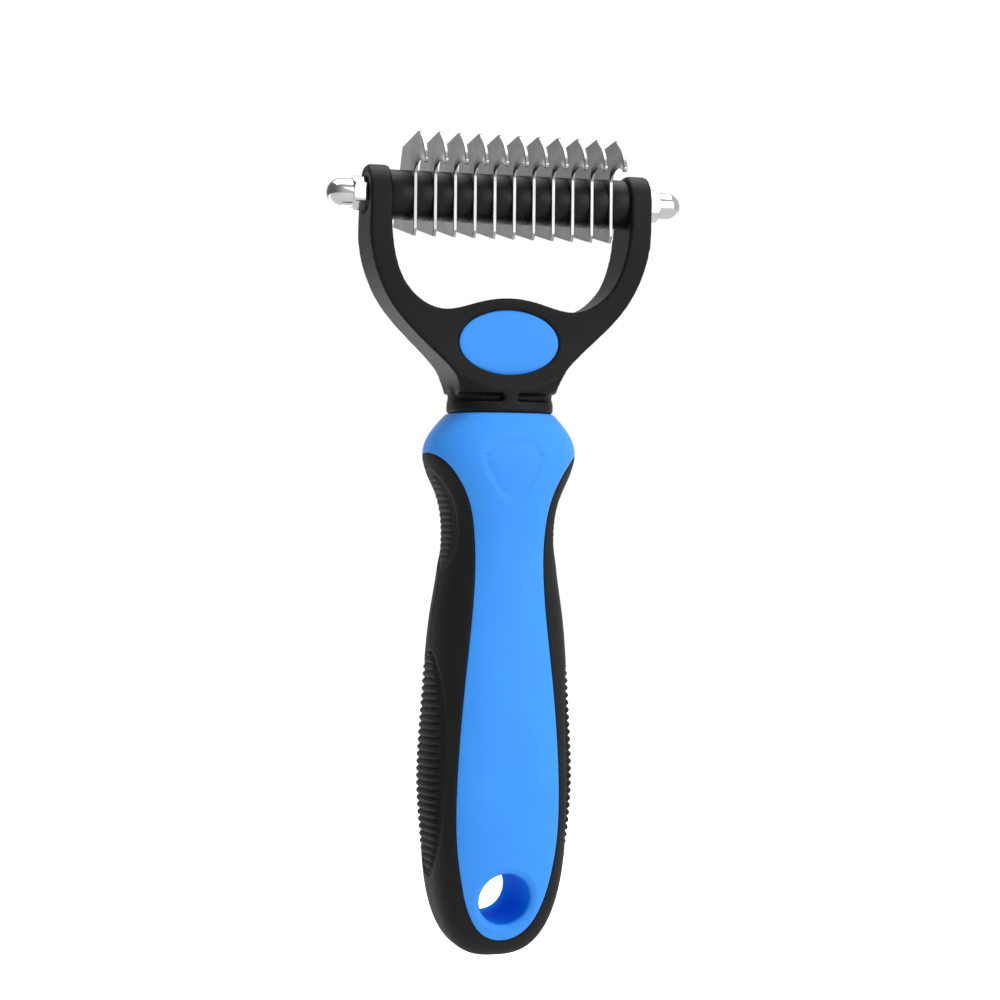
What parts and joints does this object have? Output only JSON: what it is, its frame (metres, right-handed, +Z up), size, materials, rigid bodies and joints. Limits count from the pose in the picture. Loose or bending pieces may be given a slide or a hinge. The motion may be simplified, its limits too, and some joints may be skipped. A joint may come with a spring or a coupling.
{
  "type": "pet undercoat rake",
  "caption": "Hand-held pet deshedding and dematting rake: hooked steel blades stacked on an axle between the arms of a forked head, on a soft-gripped handle with a hanging hole.",
  "frame": {"origin": "centre of the hanging hole, midway through the handle's butt", "axes": "+Z up along the handle towards the head, -Y the combing side that faces the user's front, +X to the right seen from the front, along the axle"},
  "size_m": [0.0862, 0.0388, 0.1926],
  "materials": {
    "handle_blue": "satin moulded blue plastic",
    "badge_blue": "smooth blue plastic",
    "grip_black": "soft matt black elastomer",
    "yoke_black": "satin moulded black nylon",
    "spacer_black": "smooth black plastic",
    "blade_steel": "ground stainless steel with bright edges",
    "axle_steel": "plain steel bar",
    "nut_chrome": "polished chrome plate"
  },
  "bodies": {
    "handle": {"handle_core": "handle_blue", "grip_overmould": "grip_black", "yoke": "yoke_black", "oval_badge": "badge_blue"},
    "blade_pack": {"axle": "axle_steel", "spacer_01": "spacer_black", "spacer_02": "spacer_black", "spacer_03": "spacer_black", "spacer_04": "spacer_black", "spacer_05": "spacer_black", "spacer_06": "spacer_black", "spacer_07": "spacer_black", "spacer_08": "spacer_black", "spacer_09": "spacer_black", "spacer_10": "spacer_black", "spacer_11": "spacer_black", "spacer_12": "spacer_black", "blade_01": "blade_steel", "blade_02": "blade_steel", "blade_03": "blade_steel", "blade_04": "blade_steel", "blade_05": "blade_steel", "blade_06": "blade_steel", "blade_07": "blade_steel", "blade_08": "blade_steel", "blade_09": "blade_steel", "blade_10": "blade_steel", "blade_11": "blade_steel", "cap_nut_left": "nut_chrome", "cap_nut_right": "nut_chrome"}
  },
  "joints": [
    {"name": "blade_pack_turn", "type": "hinge", "parent": "handle", "child": "blade_pack", "pos_m": [0, -0.007, 0.16405], "axis": [1, 0, 0], "continuous": true}
  ]
}
